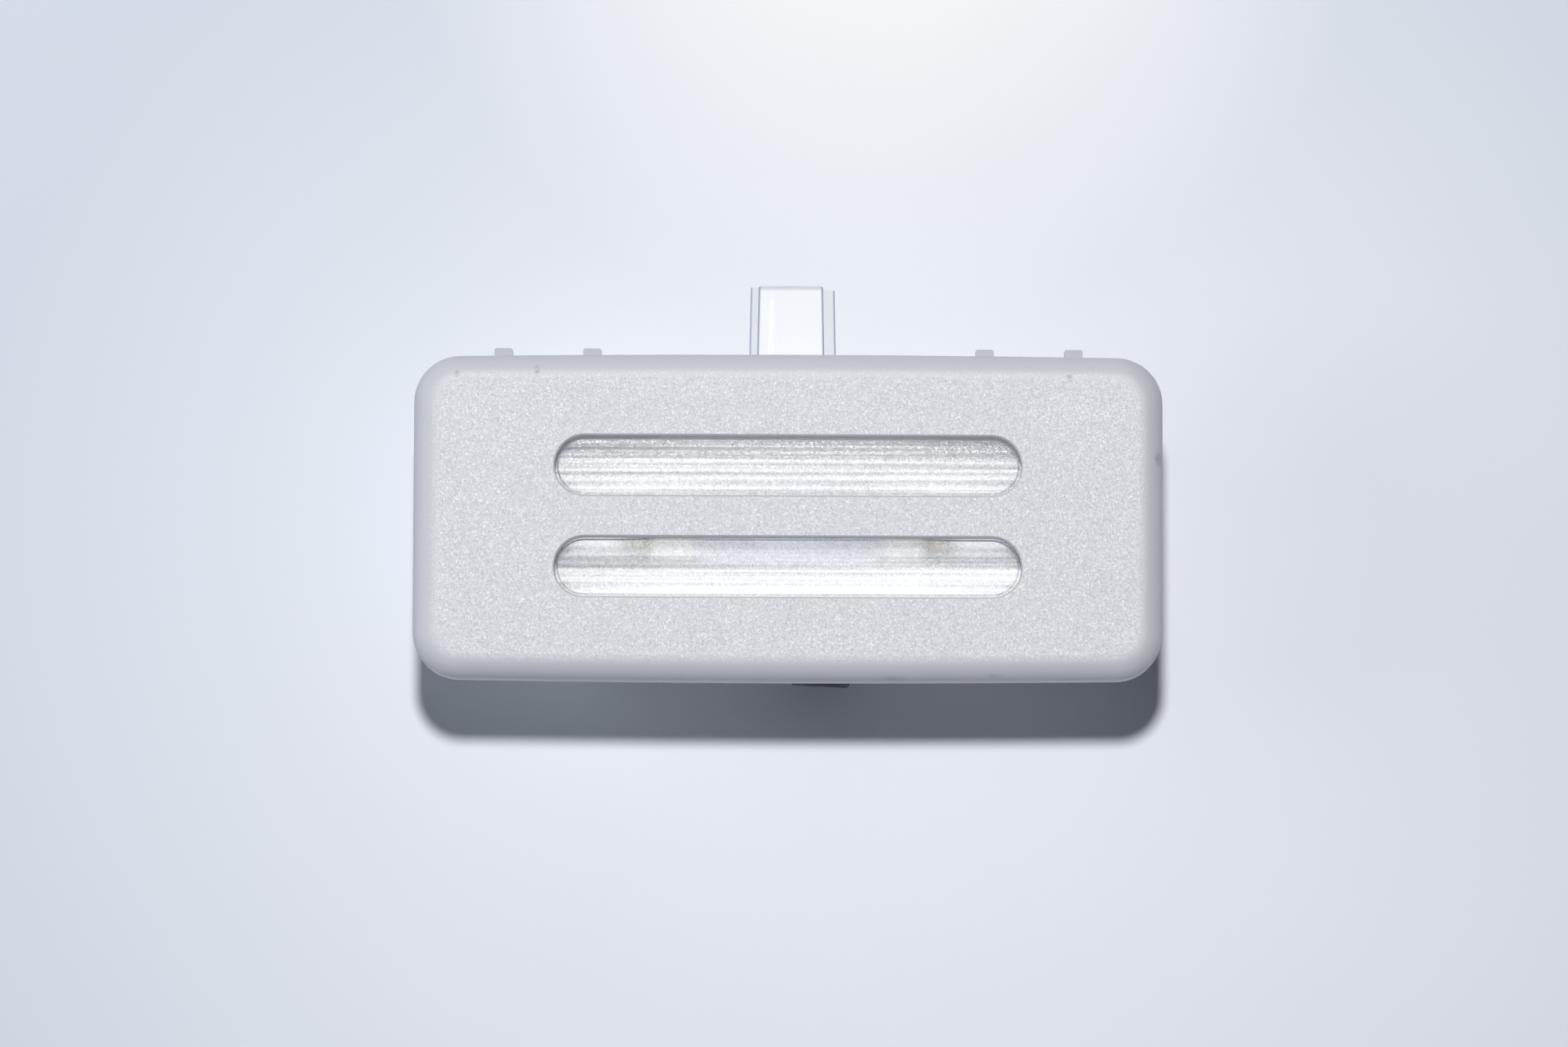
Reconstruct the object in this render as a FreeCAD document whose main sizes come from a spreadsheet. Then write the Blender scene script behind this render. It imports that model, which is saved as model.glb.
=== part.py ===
"""Slim car interior light: grained bezel, clear lens, rear housing and a festoon bulb.

Millimetres. X runs along the light, Y across it and Z out of the face.
The origin lies under the middle of the bezel, on the flat rear of the housing.
"""
import FreeCAD, Part
import math
import os
import Sketcher
from FreeCAD import Vector

# Driving sizes, each named once
SIZES = {
    # Front bezel
    "bezel_length": 74.0,
    "bezel_width": 32.4,
    "bezel_bow": 0.3,
    "bezel_corner": 4.6,
    "bezel_height": 5.0,
    "bezel_edge": 2.4,
    "bezel_wall": 1.6,
    "bezel_front": 1.8,
    "face_height": 19.0,
    "slot_inset": 14.0,
    "slot_width": 5.9,
    "slot_pitch": 10.0,
    "slot_edge": 0.15,
    "lug_inset": 8.75,
    "lug_spacing": 8.8,
    "lug_width": 1.8,
    "lug_reach": 0.7,
    "lug_height": 1.5,
    "snap_inset": 15.0,
    "snap_length": 6.0,
    "snap_height": 1.2,
    "snap_overlap": 0.6,
    "snap_gap": 0.05,
    # Clear lens
    "box_inset_x": 8.0,
    "box_inset_y": 4.0,
    "box_corner": 2.5,
    "flange_reach_x": 3.0,
    "flange_reach_y": 1.6,
    "flange_corner": 3.0,
    "flange_thick": 1.4,
    "lens_wall": 1.4,
    "pad_recess": 1.0,
    "pad_gap": 0.15,
    "pad_edge": 0.2,
    "flute_depth": 0.04,
    "panel_gap": 5.0,
    "tongue_offset": 0.22,
    "tongue_rib": 6.95,
    "tongue_wing_left": 0.8,
    "tongue_wing_right": 1.18,
    "tongue_wing_skew": 0.3,
    "tongue_taper": 0.24,
    "tongue_reach": 7.8,
    "tongue_step": 1.8,
    "tongue_wing_thick": 1.0,
    "tongue_skin": 1.1,
    "tongue_round": 0.6,
    "tongue_edge": 0.25,
    # Rear housing
    "housing_height": 6.2,
    "housing_floor": 1.5,
    "housing_wall": 2.0,
    "housing_edge": 0.6,
    "lip_height": 3.0,
    "lip_root": 1.2,
    "lip_wall": 1.0,
    "lip_gap": 0.1,
    "catch_inset": 9.0,
    "catch_length": 4.0,
    "catch_height": 1.4,
    "catch_depth": 0.7,
    "catch_rise": 0.7,
    "catch_gap": 0.15,
    "plug_width": 11.0,
    "plug_height": 4.8,
    "plug_depth": 6.5,
    "plug_axis": 4.0,
    "shroud_wall": 1.0,
    "latch_length": 2.0,
    "latch_width": 3.0,
    "latch_inset": 2.2,
    "post_length": 1.5,
    "post_width": 3.6,
    "post_height": 3.5,
    # Bulb contacts
    "contact_thick": 0.6,
    "contact_fold": 0.3,
    "strip_width": 2.7,
    "strip_gap": 0.4,
    "plate_width": 5.0,
    "plate_top": 3.2,
    "plate_base": 1.5,
    "plate_hole": 3.6,
    "plate_gap": 0.02,
    "plate_corner": 1.0,
    "pin_pitch": 7.2,
    "pin_width": 1.5,
    "pin_gap": 0.05,
    "pin_inset": 1.2,
    "pin_lead": 0.2,
    "joggle_inset": 3.5,
    "joggle_length": 2.2,
    # Reflector
    "reflector_thick": 0.4,
    "reflector_clear": 1.1,
    "reflector_gap": 0.3,
    "reflector_flange": 0.9,
    "reflector_end": 3.3,
    "window_gap": 0.5,
    # Festoon bulb
    "bulb_length": 31.0,
    "cap_diameter": 7.0,
    "cap_length": 5.9,
    "cap_cone": 1.6,
    "cap_tip": 0.5,
    "cap_tip_diameter": 2.2,
    "cap_wall": 0.35,
    "glass_diameter": 7.6,
    "glass_wall": 0.5,
    "glass_neck": 1.2,
    "glass_pinch": 1.3,
    "lead_diameter": 0.6,
    "filament_length": 8.0,
    "filament_diameter": 0.9,
    "filament_wire": 0.22,
    # Retaining spring
    "spring_offset": 3.22,
    "spring_width": 5.95,
    "spring_thick": 0.5,
    "spring_gap": 0.2,
    "spring_lean": 2.1,
    "spring_lip": 1.29,
    "spring_slant": 0.25,
    "spring_chamfer": 0.3,
    "spring_hook": 1.6,
    "spring_bend": 0.2,
    "root_gap": 0.1,
}

# Flutes behind each lens pad, and turns of the filament coil
FLUTES = 7
TURNS = 4

# Levels and shared positions, written as expressions on the sheet
FACE = "sizes.face_height"
RIM = "(sizes.face_height - sizes.bezel_height)"
FLANGE_TOP = "(sizes.face_height - sizes.bezel_front)"
FLANGE_BACK = f"({FLANGE_TOP} - sizes.flange_thick)"
SPLIT = "sizes.housing_height"
FLOOR = "sizes.housing_floor"
LIP_TOP = f"({SPLIT} + sizes.lip_height)"
PANEL_BACK = f"({RIM} - sizes.panel_gap)"
BEZEL_X = "(sizes.bezel_length / 2)"
BEZEL_Y = "(sizes.bezel_width / 2)"
BOX_X = f"({BEZEL_X} - sizes.box_inset_x)"
BOX_Y = f"({BEZEL_Y} - sizes.box_inset_y)"
SLOT_LENGTH = "(sizes.bezel_length - 2 * sizes.slot_inset)"
SLOT_Y = "(sizes.slot_pitch / 2)"
LIP_X = f"({BOX_X} - sizes.lens_wall - sizes.lip_gap)"
LIP_Y = f"({BOX_Y} - sizes.lens_wall - sizes.lip_gap)"
CATCH_X = f"({BOX_X} - sizes.catch_inset)"
CATCH_Z = f"({SPLIT} + sizes.catch_rise)"
CAP_SHOULDER = "(sizes.bulb_length / 2 - sizes.cap_tip - sizes.cap_cone)"
CAP_MOUTH = "(sizes.bulb_length / 2 - sizes.cap_length)"
CONE_RUN = "(sizes.cap_cone / (sizes.cap_diameter - sizes.cap_tip_diameter))"
PLATE_X = f"({CAP_SHOULDER} + (sizes.cap_diameter - sizes.plate_hole) * {CONE_RUN} + sizes.plate_gap)"
STRIP_IN = "(sizes.plate_width / 2 + sizes.strip_gap)"
STRIP_OUT = f"({STRIP_IN} + sizes.strip_width)"
STRIP_TOP = f"({FLOOR} + sizes.contact_thick)"
JOGGLE_X = f"({BOX_X} - sizes.housing_wall - sizes.joggle_inset)"
PIN_Y = "(sizes.pin_pitch / 2)"
PIN_LOW = "(sizes.plug_axis - sizes.contact_thick / 2)"
PIN_HIGH = "(sizes.plug_axis + sizes.contact_thick / 2)"
MOUTH_X = f"({BOX_X} + sizes.plug_depth)"
TROUGH_Z = f"({STRIP_TOP} + sizes.reflector_clear)"
TROUGH_Y = f"({LIP_Y} - sizes.lip_wall - sizes.reflector_gap)"
TROUGH_DEPTH = f"({LIP_TOP} - {TROUGH_Z})"
TROUGH_R = f"(({TROUGH_Y} ^ 2 + {TROUGH_DEPTH} ^ 2) / (2 * {TROUGH_DEPTH}))"
BULB_Z = f"({TROUGH_Z} + ({TROUGH_R} + sizes.reflector_thick) / 2)"
FILAMENT_END = "(sizes.filament_length / 2)"
LEAD_END = f"({CAP_SHOULDER} + sizes.cap_cone - sizes.cap_wall)"

doc = FreeCAD.newDocument("interior_light")
sheet = doc.addObject("Spreadsheet::Sheet", "sizes")
for row, (alias, amount) in enumerate(SIZES.items(), start=1):
    sheet.set(f"A{row}", alias)
    sheet.set(f"B{row}", str(amount))
    sheet.setAlias(f"B{row}", alias)
doc.recompute()


def value(expression):
    """The number an expression on the sheet gives."""
    return float(sheet.evalExpression(expression))


def new_body(name):
    body = doc.addObject("PartDesign::Body", name)
    body.Label = name
    return body


def new_sketch(body, name, role, level="0", lift="0"):
    """A sketch on one of the body's own origin planes, moved along its normal and its upright axis."""
    sketch = body.newObject("Sketcher::SketchObject", name)
    plane = next(item for item in body.Origin.OriginFeatures if item.Role == role)
    sketch.AttachmentSupport = [(plane, "")]
    sketch.MapMode = "FlatFace"
    sketch.setExpression("AttachmentOffset.Base.z", level)
    sketch.setExpression("AttachmentOffset.Base.y", lift)
    return sketch


def bound(sketch, kind, *where, to):
    """A dimension of the sketch that follows an expression."""
    index = sketch.addConstraint(Sketcher.Constraint(kind, *where, value(to)))
    sketch.setExpression(f"Constraints[{index}]", to)


def place_point(sketch, geometry, end, across, up):
    """Fix one end of a piece of geometry from the sketch's origin."""
    for kind, axis, expression in (("DistanceX", -2, across), ("DistanceY", -1, up)):
        amount = value(expression)
        if abs(amount) < 1e-9:
            sketch.addConstraint(Sketcher.Constraint("PointOnObject", geometry, end, axis))
        elif amount > 0:
            bound(sketch, kind, -1, 1, geometry, end, to=expression)
        else:
            bound(sketch, kind, geometry, end, -1, 1, to=f"-({expression})")


def polygon(sketch, points, arcs=None):
    """A closed outline through fixed points; arcs gives some sides a radius and a centre side.

    A side is named by its first point. A positive turn bends to the left of the way along it.
    """
    arcs = arcs or {}
    count = len(points)
    spots = [Vector(value(across), value(up), 0) for across, up in points]
    sides = []
    for index in range(count):
        start = spots[index]
        stop = spots[(index + 1) % count]
        if index in arcs:
            radius, turn = arcs[index]
            sides.append(sketch.addGeometry(arc_between(start, stop, value(radius), turn)))
        else:
            sides.append(sketch.addGeometry(Part.LineSegment(start, stop)))
    for index in range(count):
        after = (index + 1) % count
        tail = end_of(arcs, index)
        sketch.addConstraint(Sketcher.Constraint("Coincident", sides[index], tail, sides[after], start_of(arcs, after)))
    for index, (across, up) in enumerate(points):
        place_point(sketch, sides[index], start_of(arcs, index), across, up)
    for index, (radius, turn) in arcs.items():
        bound(sketch, "Radius", sides[index], to=radius)


def start_of(arcs, index):
    """Which end of a side comes first: a clockwise arc is stored the other way round."""
    return 2 if index in arcs and arcs[index][1] < 0 else 1


def end_of(arcs, index):
    return 3 - start_of(arcs, index)


def arc_between(start, stop, radius, turn):
    """The short arc from one point to another, counter-clockwise for a positive turn."""
    middle = (start + stop) * 0.5
    chord = stop - start
    rise = math.sqrt(max(radius ** 2 - chord.Length ** 2 / 4, 0.0))
    left = Vector(-chord.y, chord.x, 0).normalize()
    centre = middle + left * rise * turn
    first, last = (start, stop) if turn > 0 else (stop, start)
    begin = math.atan2(first.y - centre.y, first.x - centre.x)
    finish = math.atan2(last.y - centre.y, last.x - centre.x)
    return Part.ArcOfCircle(Part.Circle(centre, Vector(0, 0, 1), radius), begin, finish)


def rectangle(sketch, left, right, low, high):
    polygon(sketch, [(left, low), (right, low), (right, high), (left, high)])


def stadium(sketch, length, width, up):
    """A slot with full round ends, centred across the sketch."""
    half = f"({length} - {width}) / 2"
    radius = f"{width} / 2"
    reach = value(half)
    bend = value(radius)
    height = value(up)
    right = Part.Circle(Vector(reach, height, 0), Vector(0, 0, 1), bend)
    left = Part.Circle(Vector(-reach, height, 0), Vector(0, 0, 1), bend)
    high = Part.LineSegment(Vector(-reach, height + bend, 0), Vector(reach, height + bend, 0))
    low = Part.LineSegment(Vector(-reach, height - bend, 0), Vector(reach, height - bend, 0))
    end_right = sketch.addGeometry(Part.ArcOfCircle(right, -math.pi / 2, math.pi / 2))
    end_left = sketch.addGeometry(Part.ArcOfCircle(left, math.pi / 2, 1.5 * math.pi))
    side_high = sketch.addGeometry(high)
    side_low = sketch.addGeometry(low)
    for joint in ((side_high, 2, end_right, 2), (side_low, 2, end_right, 1),
                  (side_high, 1, end_left, 1), (side_low, 1, end_left, 2)):
        sketch.addConstraint(Sketcher.Constraint("Tangent", *joint))
    bound(sketch, "Radius", end_right, to=radius)
    bound(sketch, "Radius", end_left, to=radius)
    place_point(sketch, end_right, 3, half, up)
    place_point(sketch, end_left, 3, f"-({half})", up)


def circle(sketch, across, up, diameter):
    spot = Vector(value(across), value(up), 0)
    ring = sketch.addGeometry(Part.Circle(spot, Vector(0, 0, 1), value(diameter) / 2))
    bound(sketch, "Diameter", ring, to=diameter)
    place_point(sketch, ring, 3, across, up)


def volume_of(body):
    return body.Tip.Shape.Volume if body.Tip else 0.0


def settle(body, feature, before, adds):
    """Recompute and make sure that the feature really added or removed material."""
    doc.recompute()
    after = feature.Shape.Volume
    if (after <= before + 1e-6) if adds else (after >= before - 1e-6):
        raise RuntimeError(f"{feature.Name} changed nothing")
    return feature


def pad(body, sketch, name, length, down=False, both=False):
    before = volume_of(body)
    feature = body.newObject("PartDesign::Pad", name)
    feature.Profile = sketch
    feature.SideType = "Symmetric" if both else "One side"
    feature.Reversed = down
    feature.setExpression("Length", length)
    return settle(body, feature, before, True)


def pocket(body, sketch, name, length=None, up=False, both=False):
    """Cut against the sketch's normal, or along it with up; no length cuts through everything."""
    before = volume_of(body)
    feature = body.newObject("PartDesign::Pocket", name)
    feature.Profile = sketch
    feature.SideType = "Symmetric" if both else "One side"
    feature.Reversed = up
    if length is None:
        feature.Type = "ThroughAll"
    else:
        feature.setExpression("Length", length)
    return settle(body, feature, before, False)


def revolve(body, sketch, name):
    """Turn a half profile about the long axis of its sketch."""
    before = volume_of(body)
    feature = body.newObject("PartDesign::Revolution", name)
    feature.Profile = sketch
    feature.ReferenceAxis = (sketch, ["H_Axis"])
    feature.Angle = 360.0
    return settle(body, feature, before, True)


def edges_where(feature, test):
    """Names of the edges whose middle point and direction pass a test."""
    names = []
    for index, edge in enumerate(feature.Shape.Edges, start=1):
        middle = edge.valueAt((edge.FirstParameter + edge.LastParameter) / 2)
        ends = [vertex.Point for vertex in edge.Vertexes]
        run = ends[-1] - ends[0] if len(ends) > 1 else Vector()
        if test(middle, run):
            names.append(f"Edge{index}")
    return names


def dress(body, kind, name, size, test):
    """Round or bevel the edges of the body's latest feature that pass a test."""
    base = body.Tip
    names = edges_where(base, test)
    if not names:
        raise RuntimeError(f"{name} found no edge")
    feature = body.newObject(f"PartDesign::{kind}", name)
    feature.Base = (base, names)
    feature.setExpression("Radius" if kind == "Fillet" else "Size", size)
    doc.recompute()
    return feature


def upright(run):
    return abs(run.z) > 1e-6 and abs(run.x) < 1e-6 and abs(run.y) < 1e-6


def near(first, second):
    return abs(first - second) < 1e-4


def bowed_outline(body, name, level, inset):
    """The bezel's outline: straight ends and gently bowed long edges, moved in by an inset."""
    sketch = new_sketch(body, name, "XY_Plane", level)
    half = f"({BEZEL_X} - {inset})"
    side = f"({BEZEL_Y} - {inset} - sizes.bezel_bow)"
    radius = f"({half} ^ 2 + sizes.bezel_bow ^ 2) / (2 * sizes.bezel_bow)"
    corners = [(f"-{half}", f"-{side}"), (half, f"-{side}"), (half, side), (f"-{half}", side)]
    polygon(sketch, corners, {0: (radius, 1), 2: (radius, 1)})
    return sketch


def make_bezel():
    body = new_body("bezel")
    half = value(BEZEL_X)
    face = value(FACE)

    # Outer shell with round corners and a soft front edge
    pad(body, bowed_outline(body, "bezel_outline", RIM, "0"), "bezel_block", "sizes.bezel_height")
    dress(body, "Fillet", "bezel_corners", "sizes.bezel_corner", lambda at, run: upright(run))
    dress(body, "Fillet", "bezel_soft_edge", "sizes.bezel_edge", lambda at, run: near(at.z, face))

    # Hollow back
    hollow = bowed_outline(body, "bezel_inner_outline", RIM, "sizes.bezel_wall")
    pocket(body, hollow, "bezel_hollow", "sizes.bezel_height - sizes.bezel_front", up=True)
    inner = half - value("sizes.bezel_wall")
    dress(body, "Fillet", "bezel_inner_corners", "sizes.bezel_corner - sizes.bezel_wall",
          lambda at, run: upright(run) and near(abs(at.x), inner))

    # Two long slots in the front
    slots = new_sketch(body, "bezel_slot_outlines", "XY_Plane", FACE)
    for side in ("", "-"):
        stadium(slots, SLOT_LENGTH, "sizes.slot_width", f"{side}{SLOT_Y}")
    pocket(body, slots, "bezel_slots")
    slot_end = value(SLOT_LENGTH) / 2 + 0.1
    dress(body, "Chamfer", "bezel_slot_edges", "sizes.slot_edge",
          lambda at, run: near(at.z, face) and abs(at.x) < slot_end and near_slot(at))

    # Four small lugs on the upper long edge
    lugs = new_sketch(body, "bezel_lug_outlines", "XY_Plane", RIM)
    for side in (-1, 1):
        for back in ("0", "sizes.lug_spacing"):
            middle = f"{side} * ({BEZEL_X} - sizes.lug_inset - {back})"
            rectangle(lugs, f"{middle} - sizes.lug_width / 2", f"{middle} + sizes.lug_width / 2",
                      f"{BEZEL_Y} - sizes.bezel_bow - sizes.bezel_wall / 2", f"{BEZEL_Y} + sizes.lug_reach")
    pad(body, lugs, "bezel_lugs", "sizes.lug_height")
    tip = value(f"{BEZEL_Y} + sizes.lug_reach")
    dress(body, "Chamfer", "bezel_lug_corners", "sizes.slot_edge",
          lambda at, run: upright(run) and near(at.y, tip))

    # Snap ribs that hold the lens flange against the front
    for side in (-1, 1):
        ribs = new_sketch(body, f"bezel_snap_{'left' if side < 0 else 'right'}", "YZ_Plane",
                          f"{side} * ({BEZEL_X} - sizes.snap_inset)")
        nose = f"({BOX_Y} + sizes.flange_reach_y - sizes.snap_overlap)"
        root = f"({BEZEL_Y} - sizes.bezel_wall / 2 - sizes.bezel_bow)"
        top = f"({FLANGE_BACK} - sizes.snap_gap)"
        polygon(ribs, [(root, top), (nose, top), (root, f"{top} - sizes.snap_height")])
        polygon(ribs, [(f"-{root}", top), (f"-{nose}", top), (f"-{root}", f"{top} - sizes.snap_height")])
        pad(body, ribs, ribs.Name + "_ribs", "sizes.snap_length", both=True)
    return body


def near_slot(at):
    """True for a point on the edge of one of the two slots."""
    return abs(abs(at.y) - value(SLOT_Y)) < value("sizes.slot_width") / 2 + 0.01


def box_outline(body, name, level, half_x, half_y):
    sketch = new_sketch(body, name, "XY_Plane", level)
    rectangle(sketch, f"-({half_x})", half_x, f"-({half_y})", half_y)
    return sketch


def round_corners(body, name, radius, half_x, half_y):
    """Round the four upright corners of a box."""
    reach_x = value(half_x)
    reach_y = value(half_y)
    return dress(body, "Fillet", name, radius,
                 lambda at, run: upright(run) and near(abs(at.x), reach_x) and near(abs(at.y), reach_y))


def make_lens():
    body = new_body("lens")

    # Flange that lies against the back of the bezel front
    flange_x = f"({BOX_X} + sizes.flange_reach_x)"
    flange_y = f"({BOX_Y} + sizes.flange_reach_y)"
    pad(body, box_outline(body, "lens_flange_outline", FLANGE_BACK, flange_x, flange_y),
        "lens_flange", "sizes.flange_thick")
    round_corners(body, "lens_flange_corners", "sizes.flange_corner", flange_x, flange_y)

    # Two pads that fill the slots of the bezel
    pads = new_sketch(body, "lens_pad_outlines", "XY_Plane", FLANGE_TOP)
    for side in ("", "-"):
        stadium(pads, f"({SLOT_LENGTH} - 2 * sizes.pad_gap)", "(sizes.slot_width - 2 * sizes.pad_gap)",
                f"{side}{SLOT_Y}")
    pad(body, pads, "lens_pads", "sizes.bezel_front - sizes.pad_recess")
    top = value(f"{FACE} - sizes.pad_recess")
    dress(body, "Chamfer", "lens_pad_edges", "sizes.pad_edge", lambda at, run: near(at.z, top))

    # Skirt round the back, hollow inside
    drop = f"({FLANGE_BACK} - {SPLIT})"
    pad(body, box_outline(body, "lens_skirt_outline", FLANGE_BACK, BOX_X, BOX_Y), "lens_skirt", drop, down=True)
    round_corners(body, "lens_skirt_corners", "sizes.box_corner", BOX_X, BOX_Y)
    inner_x = f"({BOX_X} - sizes.lens_wall)"
    inner_y = f"({BOX_Y} - sizes.lens_wall)"
    pocket(body, box_outline(body, "lens_hollow_outline", SPLIT, inner_x, inner_y), "lens_hollow", drop, up=True)
    round_corners(body, "lens_hollow_corners", "sizes.box_corner - sizes.lens_wall", inner_x, inner_y)

    # Fine flutes along the back of each pad
    flutes = new_sketch(body, "lens_flute_profile", "YZ_Plane")
    pitch = f"(sizes.slot_width / {FLUTES})"
    bend = f"(({pitch} / 2) ^ 2 + sizes.flute_depth ^ 2) / (2 * sizes.flute_depth)"
    overlap = f"{FLANGE_BACK} + sizes.flange_thick / 4"
    for side in ("-", ""):
        first = f"({side}{SLOT_Y} - sizes.slot_width / 2)"
        row = [(f"{first} + {step} * {pitch}", FLANGE_BACK) for step in range(FLUTES + 1)]
        ends = [(f"{first} + sizes.slot_width", overlap), (first, overlap)]
        polygon(flutes, row + ends, {step: (bend, 1) for step in range(FLUTES)})
    pad(body, flutes, "lens_flutes", SLOT_LENGTH, both=True)

    # Windows for the catches of the housing
    windows = new_sketch(body, "lens_window_outlines", "XZ_Plane")
    for side in (-1, 1):
        middle = f"{side} * {CATCH_X}"
        reach = "(sizes.catch_length / 2 + sizes.catch_gap)"
        rectangle(windows, f"{middle} - {reach}", f"{middle} + {reach}",
                  f"{CATCH_Z} - sizes.catch_gap", f"{CATCH_Z} + sizes.catch_height + sizes.catch_gap")
    pocket(body, windows, "lens_windows", f"2 * {BOX_Y} + 2", both=True)

    # Tongue with two low wings and a raised middle that is hollow below, narrowing to its tip
    raised = "(sizes.tongue_rib / 2)"
    wing_low = f"({PANEL_BACK} - sizes.tongue_step - sizes.tongue_wing_thick)"
    root = f"({BOX_Y} - sizes.lens_wall / 2)"
    tip_y = f"({BEZEL_Y} + sizes.tongue_reach)"
    wings = tongue_outline(body, "lens_tongue_wing_outline", wing_low, root, tip_y,
                           f"({raised} + sizes.tongue_wing_left)", f"({raised} + sizes.tongue_wing_right)",
                           "sizes.tongue_wing_skew")
    pad(body, wings, "lens_tongue_wings", "sizes.tongue_wing_thick")
    rib = tongue_outline(body, "lens_tongue_rib_outline", wing_low, root, tip_y, raised, raised)
    pad(body, rib, "lens_tongue_rib", f"{PANEL_BACK} - {wing_low}")
    inner = f"({raised} - sizes.tongue_skin)"
    channel = tongue_outline(body, "lens_tongue_channel_outline", wing_low, BOX_Y,
                             f"({tip_y} - sizes.tongue_skin)", inner, inner)
    pocket(body, channel, "lens_tongue_channel", f"{PANEL_BACK} - sizes.tongue_skin - {wing_low}", up=True)
    high = value(PANEL_BACK)
    step = value(f"{PANEL_BACK} - sizes.tongue_step")
    far = value(tip_y)
    dress(body, "Fillet", "lens_tongue_nose", "sizes.tongue_round",
          lambda at, run: near(at.z, high) and near(at.y, far))
    half = value(raised)
    middle = value("sizes.tongue_offset")

    def on_flank(at, run):
        """True for the long upper edges of the raised middle and of the two wings."""
        along = abs(run.y) > abs(run.x) and at.y > value(BOX_Y) + 1
        return along and (near(at.z, high) or (near(at.z, step) and abs(at.x - middle) > half))

    dress(body, "Fillet", "lens_tongue_flanks", "sizes.tongue_edge", on_flank)
    return body


def tongue_outline(body, name, level, near_end, far_end, left, right, skew="0"):
    """A strip across the light that narrows to its far end; left and right are its half widths.

    Its far end comes back by the skew on the right.
    """
    sketch = new_sketch(body, name, "XY_Plane", level)
    polygon(sketch, [(f"sizes.tongue_offset - {left}", near_end),
                     (f"sizes.tongue_offset + {right}", near_end),
                     (f"sizes.tongue_offset + {right} - sizes.tongue_taper", f"{far_end} - {skew}"),
                     (f"sizes.tongue_offset - {left} + sizes.tongue_taper", far_end)])
    return sketch


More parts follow.
